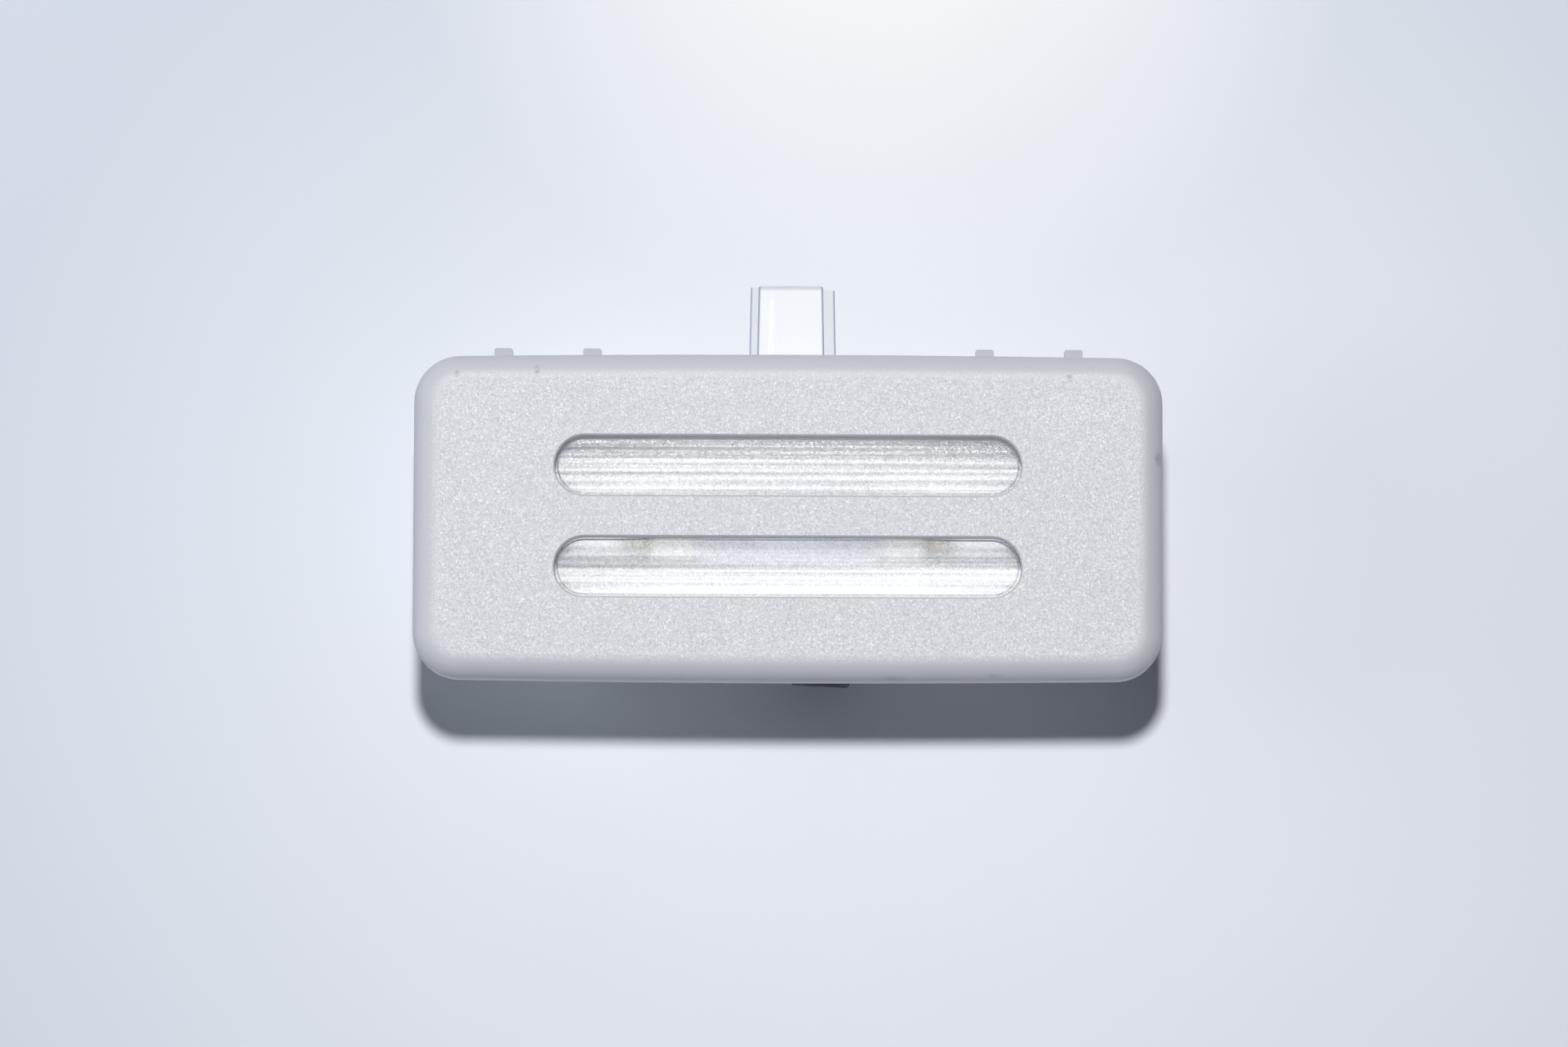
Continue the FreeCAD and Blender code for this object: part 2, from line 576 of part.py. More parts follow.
def make_housing():
    body = new_body("housing")

    # Shallow box with soft rear edges
    pad(body, box_outline(body, "housing_outline", "0", BOX_X, BOX_Y), "housing_block", SPLIT)
    round_corners(body, "housing_corners", "sizes.box_corner", BOX_X, BOX_Y)
    dress(body, "Chamfer", "housing_rear_edge", "sizes.housing_edge", lambda at, run: near(at.z, 0))
    inner_x = f"({BOX_X} - sizes.housing_wall)"
    inner_y = f"({BOX_Y} - sizes.housing_wall)"
    pocket(body, box_outline(body, "housing_hollow_outline", SPLIT, inner_x, inner_y),
           "housing_hollow", f"{SPLIT} - {FLOOR}")

    # Lip that stands up inside the lens skirt
    lip = box_outline(body, "housing_lip_outline", f"{SPLIT} - sizes.lip_root", LIP_X, LIP_Y)
    rectangle(lip, f"-({LIP_X} - sizes.lip_wall)", f"{LIP_X} - sizes.lip_wall",
              f"-({LIP_Y} - sizes.lip_wall)", f"{LIP_Y} - sizes.lip_wall")
    pad(body, lip, "housing_lip", "sizes.lip_root + sizes.lip_height")
    round_corners(body, "housing_lip_corners", "sizes.box_corner - sizes.lens_wall", LIP_X, LIP_Y)

    # Catches that snap into the windows of the lens
    for side in (-1, 1):
        catches = new_sketch(body, f"housing_catch_{'left' if side < 0 else 'right'}", "YZ_Plane",
                             f"{side} * {CATCH_X}")
        root = f"({LIP_Y} - sizes.lip_wall / 2)"
        nose = f"({LIP_Y} + sizes.catch_depth)"
        for sign in ("", "-"):
            polygon(catches, [(f"{sign}{root}", CATCH_Z), (f"{sign}{nose}", CATCH_Z),
                              (f"{sign}{root}", f"{CATCH_Z} + sizes.catch_height")])
        pad(body, catches, catches.Name + "_noses", "sizes.catch_length", both=True)

    # Socket for the plug on the right end
    shroud_y = "(sizes.plug_width / 2 + sizes.shroud_wall)"
    shroud_z = "(sizes.plug_height / 2 + sizes.shroud_wall)"
    shroud = new_sketch(body, "housing_shroud_outline", "YZ_Plane", BOX_X)
    rectangle(shroud, f"-{shroud_y}", shroud_y, f"sizes.plug_axis - {shroud_z}", f"sizes.plug_axis + {shroud_z}")
    pad(body, shroud, "housing_shroud", "sizes.plug_depth")
    cavity = new_sketch(body, "housing_cavity_outline", "YZ_Plane", MOUTH_X)
    rectangle(cavity, "-sizes.plug_width / 2", "sizes.plug_width / 2",
              "sizes.plug_axis - sizes.plug_height / 2", "sizes.plug_axis + sizes.plug_height / 2")
    pocket(body, cavity, "housing_cavity", "sizes.plug_depth")
    slits = new_sketch(body, "housing_slit_outlines", "YZ_Plane", BOX_X)
    for side in (-1, 1):
        reach = "(sizes.pin_width / 2 + sizes.pin_gap)"
        rectangle(slits, f"{side} * {PIN_Y} - {reach}", f"{side} * {PIN_Y} + {reach}",
                  f"{PIN_LOW} - sizes.pin_gap", f"{PIN_HIGH} + sizes.pin_gap")
    pocket(body, slits, "housing_slits", "sizes.housing_wall + sizes.pin_gap")
    latch = new_sketch(body, "housing_latch_outline", "XY_Plane", f"sizes.plug_axis - {shroud_z}")
    latch_x = f"({MOUTH_X} - sizes.latch_inset)"
    rectangle(latch, f"{latch_x} - sizes.latch_length", latch_x, "-sizes.latch_width / 2", "sizes.latch_width / 2")
    pocket(body, latch, "housing_latch", "sizes.shroud_wall + sizes.pin_gap", up=True)

    # Posts that back up the bulb contacts
    posts = new_sketch(body, "housing_post_outlines", "XY_Plane", FLOOR)
    back = f"({PLATE_X} + sizes.contact_thick)"
    rectangle(posts, back, f"{back} + sizes.post_length", "-sizes.post_width / 2", "sizes.post_width / 2")
    rectangle(posts, f"-{back} - sizes.post_length", f"-{back}", "-sizes.post_width / 2", "sizes.post_width / 2")
    pad(body, posts, "housing_posts", "sizes.post_height")

    # Slot for the root of the retaining spring
    root = new_sketch(body, "housing_root_outline", "XZ_Plane", BOX_Y)
    reach = "(sizes.spring_width / 2 + sizes.root_gap)"
    rectangle(root, f"sizes.spring_offset - {reach}", f"sizes.spring_offset + {reach}",
              FLOOR, f"{FLOOR} + sizes.spring_thick + sizes.root_gap")
    pocket(body, root, "housing_root_slot", "sizes.housing_wall + sizes.root_gap")
    return body


def make_reflector():
    """One bent sheet: a round trough that hangs by its two flanges on the lip of the housing."""
    body = new_body("reflector")
    thick = "sizes.reflector_thick"
    rim = f"({TROUGH_Y} + sizes.reflector_gap + sizes.reflector_flange)"
    upper = f"({LIP_TOP} + {thick})"
    inner = f"sqrt(({TROUGH_R} - {thick}) ^ 2 - ({TROUGH_R} - {TROUGH_DEPTH} - {thick}) ^ 2)"
    section = new_sketch(body, "reflector_section", "YZ_Plane")
    corners = [(f"-{TROUGH_Y}", LIP_TOP), (TROUGH_Y, LIP_TOP), (rim, LIP_TOP), (rim, upper),
               (inner, upper), (f"-{inner}", upper), (f"-{rim}", upper), (f"-{rim}", LIP_TOP)]
    polygon(section, corners, {0: (TROUGH_R, 1), 4: (f"{TROUGH_R} - {thick}", -1)})
    length = f"2 * ({LIP_X} - sizes.lip_wall - sizes.reflector_end)"
    pad(body, section, "reflector_trough", length, both=True)

    # Windows for the contacts and the posts behind them
    windows = new_sketch(body, "reflector_window_outlines", "XY_Plane", upper)
    near_end = f"({PLATE_X} - sizes.window_gap)"
    far_end = f"({PLATE_X} + sizes.contact_thick + sizes.post_length + sizes.window_gap)"
    side = "(sizes.plate_width / 2 + sizes.window_gap)"
    rectangle(windows, near_end, far_end, f"-{side}", side)
    rectangle(windows, f"-{far_end}", f"-{near_end}", f"-{side}", side)
    pocket(body, windows, "reflector_windows")
    return body


def make_contact(name, side):
    """A stamped strip on the floor, with a folded plate for the bulb and a raised pin in the socket."""
    body = new_body(name)
    front = f"{side} * {PLATE_X}"
    back = f"{side} * ({PLATE_X} + sizes.contact_thick)"
    low_x, high_x = (front, back) if side > 0 else (back, front)
    edges = (f"{side} * {STRIP_IN}", f"{side} * {STRIP_OUT}")
    low_y, high_y = edges if side > 0 else edges[::-1]
    far = "sizes.plate_width / 2"

    # Strip along the floor
    strip = new_sketch(body, f"{name}_strip_outline", "XY_Plane", FLOOR)
    rectangle(strip, low_x, JOGGLE_X, low_y, high_y)
    pad(body, strip, f"{name}_strip", "sizes.contact_thick")

    # Plate folded up at the end of the bulb
    base = new_sketch(body, f"{name}_base_outline", "XY_Plane", FLOOR)
    if side > 0:
        rectangle(base, low_x, high_x, f"-{far}", high_y)
    else:
        rectangle(base, low_x, high_x, low_y, far)
    pad(body, base, f"{name}_base", "sizes.plate_base")
    plate = new_sketch(body, f"{name}_plate_outline", "XY_Plane", FLOOR)
    rectangle(plate, low_x, high_x, f"-{far}", far)
    pad(body, plate, f"{name}_plate", f"{BULB_Z} + sizes.plate_top - {FLOOR}")
    top = value(f"{BULB_Z} + sizes.plate_top")
    dress(body, "Chamfer", f"{name}_plate_corners", "sizes.plate_corner",
          lambda at, run: near(at.z, top) and abs(run.x) > 0.1 and abs(run.y) < 1e-6)
    hole = new_sketch(body, f"{name}_hole_outline", "YZ_Plane",
                      f"{side} * ({PLATE_X} + sizes.contact_thick / 2)")
    circle(hole, "0", BULB_Z, "sizes.plate_hole")
    pocket(body, hole, f"{name}_hole", "2 * sizes.contact_thick", both=True)

    # Joggle up to the pin in the socket
    pin = new_sketch(body, f"{name}_pin_profile", "XZ_Plane", f"{-side} * {PIN_Y}")
    root = f"({JOGGLE_X} - sizes.joggle_length)"
    crest = f"({JOGGLE_X} + sizes.joggle_length)"
    slope = f"(sizes.contact_thick * ({PIN_LOW} - {FLOOR}) / sizes.joggle_length / 4)"
    tip = f"({MOUTH_X} - sizes.pin_inset)"
    polygon(pin, [(root, FLOOR), (f"{JOGGLE_X} + {slope}", FLOOR), (f"{crest} + {slope}", PIN_LOW),
                  (tip, PIN_LOW), (tip, PIN_HIGH), (f"{crest} - {slope}", PIN_HIGH),
                  (f"{JOGGLE_X} - {slope}", STRIP_TOP), (root, STRIP_TOP)])
    pad(body, pin, f"{name}_pin", "sizes.pin_width", both=True)
    tip_x = value(tip)
    dress(body, "Chamfer", f"{name}_pin_lead", "sizes.pin_lead", lambda at, run: near(at.x, tip_x))

    # Rounded fold between the strip and the plate, outside and inside
    outside, inside = (value(low_x), value(high_x))
    folds = ((outside, value(FLOOR)), (inside, value(STRIP_TOP)))
    dress(body, "Fillet", f"{name}_fold", "sizes.contact_fold",
          lambda at, run: abs(run.y) > 1 and any(near(at.x, x) and near(at.z, z) for x, z in folds))
    return body


def bulb_sketch(body, name):
    """A sketch whose long axis is the axis of the bulb."""
    return new_sketch(body, name, "XZ_Plane", lift=BULB_Z)


def make_bulb_glass():
    """A sealed tube with a narrower neck inside each cap."""
    body = new_body("bulb_glass")
    outer = "(sizes.glass_diameter / 2)"
    neck = "(sizes.cap_diameter / 2 - sizes.cap_wall)"
    lead = "(sizes.lead_diameter / 2)"
    wall = "sizes.glass_wall"
    taper = f"({CAP_MOUTH} - sizes.glass_neck)"
    pinch = f"({CAP_SHOULDER} - sizes.glass_pinch)"
    outside = [(CAP_SHOULDER, lead), (CAP_SHOULDER, neck), (CAP_MOUTH, neck), (taper, outer)]
    inside = [(taper, f"{outer} - {wall}"), (CAP_MOUTH, f"{neck} - {wall}"),
              (pinch, f"{neck} - {wall}"), (pinch, lead)]
    mirrored_out = [(f"-{across}", up) for across, up in reversed(outside)]
    mirrored_in = [(f"-{across}", up) for across, up in reversed(inside)]
    section = bulb_sketch(body, "bulb_glass_section")
    polygon(section, outside + mirrored_out + mirrored_in + inside)
    revolve(body, section, "bulb_glass_tube")
    return body


def make_bulb_cap(name, side):
    """A thin cap with a conical end and a small flat tip."""
    body = new_body(name)
    outer = "sizes.cap_diameter / 2"
    tip = "sizes.cap_tip_diameter / 2"
    cone_end = f"({CAP_SHOULDER} + sizes.cap_cone)"
    points = [(CAP_MOUTH, outer), (CAP_SHOULDER, outer), (cone_end, tip), ("sizes.bulb_length / 2", tip),
              ("sizes.bulb_length / 2", "0"), (LEAD_END, "0"), (LEAD_END, f"{tip} - sizes.cap_wall / 2"),
              (CAP_SHOULDER, f"{outer} - sizes.cap_wall"), (CAP_MOUTH, f"{outer} - sizes.cap_wall")]
    section = bulb_sketch(body, f"{name}_section")
    polygon(section, [(f"{side} * {across}", up) for across, up in points])
    revolve(body, section, f"{name}_shell")
    return body


def make_bulb_lead(name, side):
    """A straight wire from the filament out to the end of its cap."""
    body = new_body(name)
    start = new_sketch(body, f"{name}_outline", "YZ_Plane", f"{side} * {FILAMENT_END}")
    circle(start, "0", BULB_Z, "sizes.lead_diameter")
    pad(body, start, f"{name}_wire", f"{LEAD_END} - {FILAMENT_END}", down=side < 0)
    return body


def make_bulb_filament():
    """A coil between two short end pieces that meet the leads."""
    body = new_body("bulb_filament")
    coil_end = f"({FILAMENT_END} - 2 * sizes.filament_wire)"
    wire = bulb_sketch(body, "bulb_filament_wire")
    half = "sizes.filament_wire / 2"
    radius = "sizes.filament_diameter / 2"
    rectangle(wire, f"-{coil_end} - {half}", f"-{coil_end} + {half}", f"{radius} - {half}", f"{radius} + {half}")
    coil = body.newObject("PartDesign::AdditiveHelix", "bulb_filament_coil")
    coil.Profile = wire
    coil.ReferenceAxis = (wire, ["H_Axis"])
    coil.Mode = 0
    coil.setExpression("Height", f"2 * {coil_end}")
    coil.setExpression("Pitch", f"2 * {coil_end} / {TURNS}")
    settle(body, coil, 0.0, True)
    for side, name in ((-1, "left"), (1, "right")):
        end = new_sketch(body, f"bulb_filament_{name}_outline", "YZ_Plane", f"{side} * {FILAMENT_END}")
        circle(end, "0", BULB_Z, "sizes.filament_diameter + 2 * sizes.filament_wire")
        pad(body, end, f"bulb_filament_{name}_end", "2 * sizes.filament_wire", down=side > 0)
    return body


def make_spring():
    """Black spring strip: hooked root in the housing, leaf leaning out, catch lip at the top."""
    body = new_body("retaining_spring")
    thick = "sizes.spring_thick"
    rise = f"({PANEL_BACK} - {FLOOR})"
    across = f"({thick} * sqrt(1 + (sizes.spring_lean / {rise}) ^ 2))"
    wall = f"({BOX_Y} + sizes.spring_gap)"
    heel = f"({wall} + {across})"
    hook = f"({BOX_Y} - sizes.housing_wall - sizes.root_gap)"
    bend = f"(sizes.spring_lean * {thick} / {rise})"
    section = new_sketch(body, "retaining_spring_section", "YZ_Plane", "sizes.spring_offset")
    polygon(section, [(f"-{hook}", f"{FLOOR} + sizes.spring_hook"),
                      (f"-{hook}", f"{FLOOR} + {thick}"),
                      (f"-{wall} - {bend}", f"{FLOOR} + {thick}"),
                      (f"-{wall} - sizes.spring_lean", PANEL_BACK),
                      (f"-{heel} - sizes.spring_lean", PANEL_BACK),
                      (f"-{heel}", FLOOR),
                      (f"-{hook} + {thick}", FLOOR),
                      (f"-{hook} + {thick}", f"{FLOOR} + sizes.spring_hook")])
    pad(body, section, "retaining_spring_leaf", "sizes.spring_width", both=True)

    # Catch lip with cut corners and a slightly slanted end
    left = "(sizes.spring_offset - sizes.spring_width / 2)"
    right = "(sizes.spring_offset + sizes.spring_width / 2)"
    inner = f"-{wall} - sizes.spring_lean - {across} / 2"
    outer = f"(-{heel} - sizes.spring_lean - sizes.spring_lip)"
    cut = "sizes.spring_chamfer"
    lip = new_sketch(body, "retaining_spring_lip_outline", "XY_Plane", PANEL_BACK)
    polygon(lip, [(left, inner), (left, f"{outer} + sizes.spring_slant + {cut}"),
                  (f"{left} + {cut}", f"{outer} + sizes.spring_slant"), (f"{right} - {cut}", outer),
                  (right, f"{outer} + {cut}"), (right, inner)])
    pad(body, lip, "retaining_spring_lip", thick, down=True)

    # Round bends, the outer radius larger by the strip's thickness
    inner_bends = [(f"-{hook}", f"{FLOOR} + {thick}"), (f"-{wall} - {bend}", f"{FLOOR} + {thick}")]
    outer_bends = [(f"-{hook} + {thick}", FLOOR), (f"-{heel}", FLOOR),
                   (f"-{wall} - sizes.spring_lean", PANEL_BACK)]
    for word, radius, bends in (("inner", "sizes.spring_bend", inner_bends),
                                ("outer", f"sizes.spring_bend + {thick}", outer_bends)):
        spots = [(value(y), value(z)) for y, z in bends]
        dress(body, "Fillet", f"retaining_spring_{word}_bends", radius,
              lambda at, run: abs(run.x) > 1 and any(near(at.y, y) and near(at.z, z) for y, z in spots))
    return body


def export_all(bodies):
    """Check every object of the document and write one file for each sub-part."""
    for item in doc.Objects:
        bad = [word for word in item.State if word in ("Invalid", "Error")]
        if bad:
            raise RuntimeError(f"{item.Name} is {bad}")
    os.makedirs("parts", exist_ok=True)
    for body in bodies:
        shape = body.Shape
        if shape.isNull() or not shape.isValid() or len(shape.Solids) != 1:
            raise RuntimeError(f"{body.Label} is not one valid solid")
        shape.exportStep(f"parts/{body.Label}.step")
        print(body.Label, round(shape.Volume, 2), shape.BoundBox)


export_all([
    make_bezel(),
    make_lens(),
    make_housing(),
    make_reflector(),
    make_contact("contact_left", -1),
    make_contact("contact_right", 1),
    make_bulb_glass(),
    make_bulb_cap("bulb_cap_left", -1),
    make_bulb_cap("bulb_cap_right", 1),
    make_bulb_lead("bulb_lead_left", -1),
    make_bulb_lead("bulb_lead_right", 1),
    make_bulb_filament(),
    make_spring(),
])
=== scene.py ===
"""Looks of the slim car interior light: materials, studio light, floor and camera.

Metres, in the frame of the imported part: X along the light, Y across it, Z out of its face.
"""
import math

import bpy
from mathutils import Matrix, Vector


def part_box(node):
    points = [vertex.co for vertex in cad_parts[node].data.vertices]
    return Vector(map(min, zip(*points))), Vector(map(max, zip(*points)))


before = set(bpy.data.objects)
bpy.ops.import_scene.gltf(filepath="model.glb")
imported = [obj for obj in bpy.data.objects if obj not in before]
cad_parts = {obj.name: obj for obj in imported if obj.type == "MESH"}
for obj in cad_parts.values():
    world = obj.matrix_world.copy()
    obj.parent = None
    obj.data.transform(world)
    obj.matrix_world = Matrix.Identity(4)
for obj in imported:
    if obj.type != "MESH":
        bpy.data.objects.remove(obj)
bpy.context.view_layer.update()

MM = 0.001


def mm(*lengths):
    """Millimetres as metres."""
    return tuple(length * MM for length in lengths)


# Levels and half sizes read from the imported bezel, and the tongue's top below the bezel's rim
FACE_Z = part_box("bezel")[1].z
RIM_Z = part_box("bezel")[0].z
HALF_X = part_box("bezel")[1].x
HALF_Y = -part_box("bezel")[0].y
TONGUE_DROP = 5 * MM
TONGUE_Z = RIM_Z - TONGUE_DROP

# Stretches of a noise that are spread over a range, and the ranges of masks that rise or fall
NARROW = (0.35, 0.65)
WIDE = (0.3, 0.7)
RISING = (0.0, 1.0)
FALLING = (1.0, 0.0)

# A spot's core of full strength as a share of its radius, and the inset of the rectangle inside the
# bezel's outline that the distance to the outline is measured from
SPOT_CORE = 0.3
CORE_INSET = 6 * MM


class Shader:
    """A node material that grows from its Principled shader."""

    def __init__(self, name, **constants):
        self.material = bpy.data.materials.new(name)
        self.material.use_nodes = True
        self.tree = self.material.node_tree
        self.surface = self.tree.nodes["Principled BSDF"]
        self.set(**constants)
        self.place = self.add("ShaderNodeTexCoord").outputs["Object"]
        self.normal = self.add("ShaderNodeNewGeometry").outputs["Normal"]

    def set(self, **sources):
        for socket, source in sources.items():
            self.feed(self.surface.inputs[socket.replace("_", " ")], source)
        return self.material

    def add(self, kind, settings=None, **inputs):
        node = self.tree.nodes.new(kind)
        for key, setting in (settings or {}).items():
            setattr(node, key, setting)
        for socket, source in inputs.items():
            self.feed(node.inputs[socket.replace("_", " ")], source)
        return node

    def feed(self, socket, source):
        if isinstance(source, bpy.types.NodeSocket):
            self.tree.links.new(source, socket)
        else:
            socket.default_value = source

    def math(self, operation, first, second=0.0):
        node = self.add("ShaderNodeMath", {"operation": operation})
        self.feed(node.inputs[0], first)
        self.feed(node.inputs[1], second)
        return node.outputs[0]

    def times(self, first, second):
        return self.math("MULTIPLY", first, second)

    def vector(self, operation, first, second=None, scale=None):
        node = self.add("ShaderNodeVectorMath", {"operation": operation})
        self.feed(node.inputs[0], first)
        if second is not None:
            self.feed(node.inputs[1], second)
        if scale is not None:
            self.feed(node.inputs["Scale"], scale)
        return node.outputs["Vector"]

    def length(self, vector):
        node = self.add("ShaderNodeVectorMath", {"operation": "LENGTH"})
        self.feed(node.inputs[0], vector)
        return node.outputs["Value"]

    def split(self, vector):
        return self.add("ShaderNodeSeparateXYZ", Vector=vector).outputs

    def join(self, **axes):
        return self.add("ShaderNodeCombineXYZ", **axes).outputs["Vector"]

    def noise(self, scale, detail=2.0, roughness=0.5, place=None):
        node = self.add("ShaderNodeTexNoise", Vector=place or self.place, Scale=scale, Detail=detail,
                        Roughness=roughness)
        return node.outputs["Fac"]

    def streaks(self, x, y, z, detail):
        """Noise with its own fineness along each axis."""
        node = self.add("ShaderNodeMapping", Vector=self.place)
        node.inputs["Scale"].default_value = (x, y, z)
        return self.noise(1.0, detail, place=node.outputs["Vector"])

    def facets(self, scale, lean, normal=None):
        """A surface broken into tiny facets, each turned its own way; also a random number for each."""
        cells = self.add("ShaderNodeTexVoronoi", Vector=self.place, Scale=scale).outputs["Color"]
        turn = self.vector("SCALE", self.vector("SUBTRACT", cells, (0.5, 0.5, 0.5)), scale=lean)
        turned = self.vector("NORMALIZE", self.vector("ADD", normal or self.normal, turn))
        return turned, self.add("ShaderNodeSeparateColor", Color=cells).outputs["Blue"]

    def spread(self, source, limits, levels=RISING):
        """The source's limits carried over to two levels."""
        node = self.add("ShaderNodeMapRange", Value=source)
        for name, amount in zip(("From Min", "From Max", "To Min", "To Max"), (*limits, *levels)):
            node.inputs[name].default_value = amount
        return node.outputs["Result"]

    def band(self, source, rise, fall, levels):
        """The first level before the rise, the second up to the fall, the third after it."""
        before, between, after = levels
        up = self.spread(source, rise, (before, between))
        down = self.spread(source, fall, (between, after))
        return self.math("MINIMUM", up, down)

    def mix(self, share, first, second):
        node = self.add("ShaderNodeMix", {"data_type": "RGBA"})
        sockets = (node.inputs[0], node.inputs[6], node.inputs[7])
        for socket, source in zip(sockets, (share, first, second)):
            self.feed(socket, source)
        return node.outputs[2]

    def blend(self, source, limits, tints):
        """The first tint where the source is low, the second where it is high."""
        return self.mix(self.spread(source, limits), *tints)

    def bump(self, height, depth, strength, normal=None):
        node = self.add("ShaderNodeBump", Height=height, Distance=depth, Strength=strength)
        if normal:
            self.feed(node.inputs["Normal"], normal)
        return node.outputs["Normal"]

    def near(self, x, y, radius, squash):
        """1 on a small spot of the face, falling to 0 at its edge."""
        shift = self.vector("SUBTRACT", self.place, (x, y, FACE_Z))
        squeezed = self.vector("MULTIPLY", shift, (1.0, squash, 0.0))
        return self.spread(self.length(squeezed), (radius * SPOT_CORE, radius), FALLING)

    def inward(self, start, full):
        """0 near the bezel's outline, rising to 1 further in."""
        core = (HALF_X - CORE_INSET, HALF_Y - CORE_INSET, 1.0)
        beyond = self.vector("SUBTRACT", self.vector("ABSOLUTE", self.place), core)
        reach = self.length(self.vector("MAXIMUM", beyond, (0.0, 0.0, 0.0)))
        return self.spread(reach, (CORE_INSET - full, CORE_INSET - start), FALLING)


# Bezel: depths below the face and upward slopes between its edge and its flat face, where the grain
# fades in from the outline, where the painted shade on the lugs ends above the rim, and how far it reaches
# into the edge
EDGE_DEEP = 1.0 * MM
EDGE_SHALLOW = 0.5 * MM
FLAT_SLOPES = (0.91, 0.998)
GRAIN_FROM = 1.5 * MM
GRAIN_FULL = 2.9 * MM
LUG_FULL = 1.55 * MM
LUG_END = 1.9 * MM
LUG_ROOT = 0.15 * MM

# Grain of the bezel: facets per metre, how far they lean, how rare and how strong the bright flecks of
# painted glint are
FACETS = 6800
FACET_LEAN = 0.28
GLINT_RARITY = 5.0
GLINT_STRENGTH = 0.7

# Tints and finish of the bezel
BEZEL_TINTS = ((0.56, 0.563, 0.603, 1), (0.66, 0.663, 0.703, 1))
EDGE_TINT = (0.556, 0.566, 0.612, 1)
# Painted glint: the bright tint of the flecks
GLINT_TINT = (0.98, 0.985, 1.0, 1)
CLOUD_TINT = (0.51, 0.515, 0.54, 1)
CLOUD_LEVELS = (0.0, 0.10)
# Painted shade on the lugs
LUG_SHADE_TINT = (0.39, 0.41, 0.445, 1)
BEZEL_ROUGH = (0.48, 0.58)
FACE_SHEEN = -0.03

# Small marks on the bezel: x, y, radius in millimetres, squash across (above 1 is shorter), strength
MARK_TINT = (0.22, 0.21, 0.19, 1)
RAGGED = (0.30, 0.55)
MARKS = (
    (-32.6, 14.0, 0.42, 0.8, 0.5),
    (-24.8, 14.3, 0.36, 0.5, 0.5),
    (27.7, 13.9, 0.45, 1.3, 0.5),
    (36.5, 5.8, 0.50, 0.6, 0.5),
    (10.4, -15.9, 1.7, 6.0, 0.28),
    (20.4, -15.6, 0.9, 3.0, 0.28),
)


def bezel_plastic():
    """Light-grey moulding: sparkling grain on the flat face with painted glints, smooth round the edge,
    painted shade on the lugs, a few faint marks.
    """
    shader = Shader("bezel_plastic")
    spot = shader.split(shader.place)
    upward = shader.split(shader.normal)["Z"]
    front = shader.spread(spot["Z"], (FACE_Z - EDGE_DEEP, FACE_Z - EDGE_SHALLOW))
    face = shader.times(shader.spread(upward, FLAT_SLOPES), front)
    grained = shader.times(shader.inward(GRAIN_FROM, GRAIN_FULL), face)
    fine = shader.noise(scale=7000, detail=1)
    cloud = shader.noise(scale=160, detail=3)

    # Tiny facets, some of them bright flecks of painted glint
    turned, chance = shader.facets(FACETS, shader.times(grained, FACET_LEAN))
    painted_glint = shader.times(shader.math("POWER", chance, GLINT_RARITY), grained)

    # Face and edge, painted glints on flecks, faint clouds, and painted shade on the lugs
    tint = shader.mix(face, EDGE_TINT, shader.blend(fine, NARROW, BEZEL_TINTS))
    tint = shader.mix(shader.times(painted_glint, GLINT_STRENGTH), tint, GLINT_TINT)
    tint = shader.mix(shader.spread(cloud, WIDE, CLOUD_LEVELS), tint, CLOUD_TINT)
    low = shader.spread(spot["Z"], (RIM_Z + LUG_FULL, RIM_Z + LUG_END), FALLING)
    outside = shader.spread(spot["Y"], (HALF_Y - LUG_ROOT, HALF_Y))
    tint = shader.mix(shader.times(low, outside), tint, LUG_SHADE_TINT)

    ragged = shader.spread(shader.noise(scale=2600, detail=4), RAGGED)
    for x, y, radius, squash, strength in MARKS:
        mark = shader.times(shader.near(*mm(x, y, radius), squash), ragged)
        tint = shader.mix(shader.times(mark, strength), tint, MARK_TINT)
    return shader.set(
        Base_Color=tint,
        Roughness=shader.math("ADD", shader.times(face, FACE_SHEEN), shader.spread(fine, WIDE, BEZEL_ROUGH)),
        Normal=shader.bump(shader.times(fine, face), depth=0.01 * MM, strength=0.5, normal=turned),
    )


# Lens: where the pads rise from the bezel's rim, where the tongue starts along Y, how deep its raised
# middle goes, where painted shade greys that middle along Y, and the slopes of its rounded edges and of its
# tip that carry painted shade
PLASTIC_IOR = 1.49
PAD_RISE = 1.0 * MM
TONGUE_FROM = mm(14, 15)
MIDDLE_DEEP = 0.6 * MM
MIDDLE_SHALLOW = 0.3 * MM
MIDDLE_FADE = mm(17.0, 23.5)
FLANK_FROM = (0.03, 0.45)
FLANK_TO = (0.90, 0.99)
TIP_SLOPES = (0.03, 0.6)

# Tints of the lens
PAD_TINT = (0.985, 0.992, 1.0, 1)
WING_TINT = (0.91, 0.905, 0.90, 1)
# Pale at the tongue's root, greying with painted shade towards its tip
MIDDLE_TINTS = ((1.0, 0.99, 0.95, 1), (0.95, 0.945, 0.935, 1))
# Painted shade on the tongue's tip
TIP_SHADE_TINT = (0.66, 0.68, 0.72, 1)
# Painted shade: dark lines on the tongue's rounded edges
FLANK_SHADE_TINT = (0.20, 0.24, 0.34, 1)
# Painted shade on the second slot's upper half and near the slots' top ends
SLOT_SHADE_TINT = (0.865, 0.872, 0.895, 1)

# A hair line on the first slot: x, y, radius in metres, squash across (below 1 is longer)
HAIR = (*mm(9.6, 5.7, 0.09), 0.13)
HAIR_TINT = (0.25, 0.25, 0.27, 1)
HAIR_STRENGTH = 0.6

# Frosting of pads and tongue, least roughness, and cloudiness of the tongue
PAD_FROST = (0.20, 0.34)
TONGUE_FROST = 0.50
LEAST_ROUGH = 0.02
TONGUE_CLOUD = (0.12, 0.28)

# Lens pads: share of the flutes' slope that shows, lean of the uneven fine lines, lean of the grain
# and its facets per metre
FLUTE_SHOW = 0.25
LINE_LEAN = 0.09
PAD_LEAN = 0.07
PAD_FACETS = 11000
